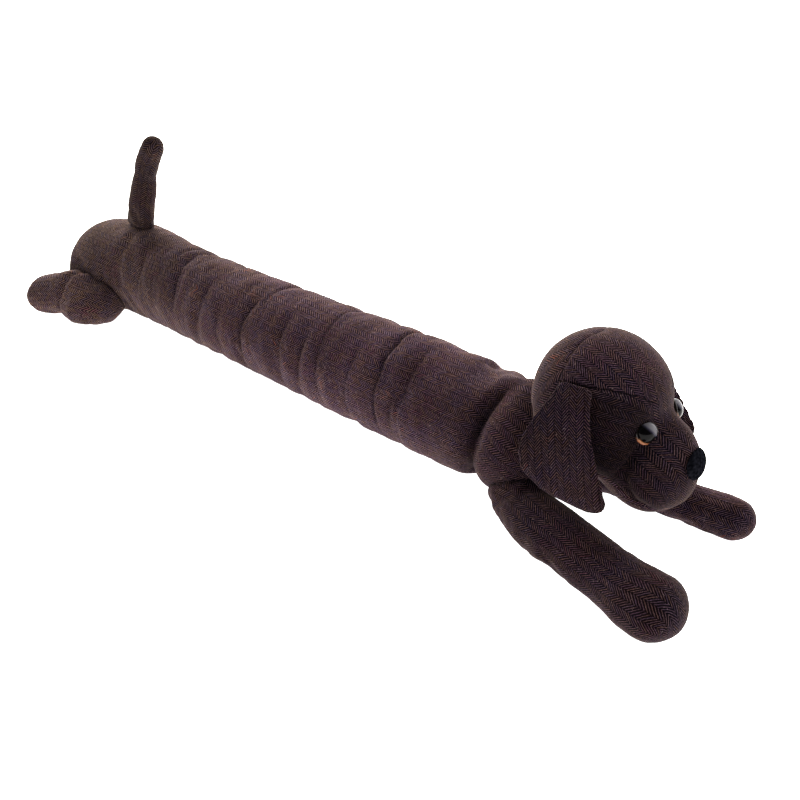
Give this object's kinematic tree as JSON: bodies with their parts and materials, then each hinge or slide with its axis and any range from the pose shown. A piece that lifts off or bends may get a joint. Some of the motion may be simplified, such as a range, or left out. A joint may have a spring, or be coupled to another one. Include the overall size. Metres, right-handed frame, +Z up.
{
  "type": "draught excluder",
  "caption": "Long stuffed tweed dog lying flat with its legs splayed, made to be laid along the foot of a door to stop draughts.",
  "frame": {"origin": "middle of the footprint, on the floor that it lies on", "axes": "+X along the body towards the head, +Y to the dog's left, +Z up"},
  "size_m": [1.009, 0.2688, 0.2591],
  "materials": {
    "tweed": "dark brown herringbone tweed",
    "ear_tweed": "dark brown herringbone tweed",
    "eye": "clear dome over an amber ring and a black pupil",
    "nose": "matt black cloth"
  },
  "bodies": {
    "root": {"body": "tweed", "head": "tweed", "foreleg_right": "tweed", "foreleg_left": "tweed", "hind_leg_right": "tweed", "hind_leg_left": "tweed", "tail": "tweed", "ear_right": "ear_tweed", "ear_left": "ear_tweed", "eye_right": "eye", "eye_left": "eye", "nose": "nose"}
  },
  "joints": []
}
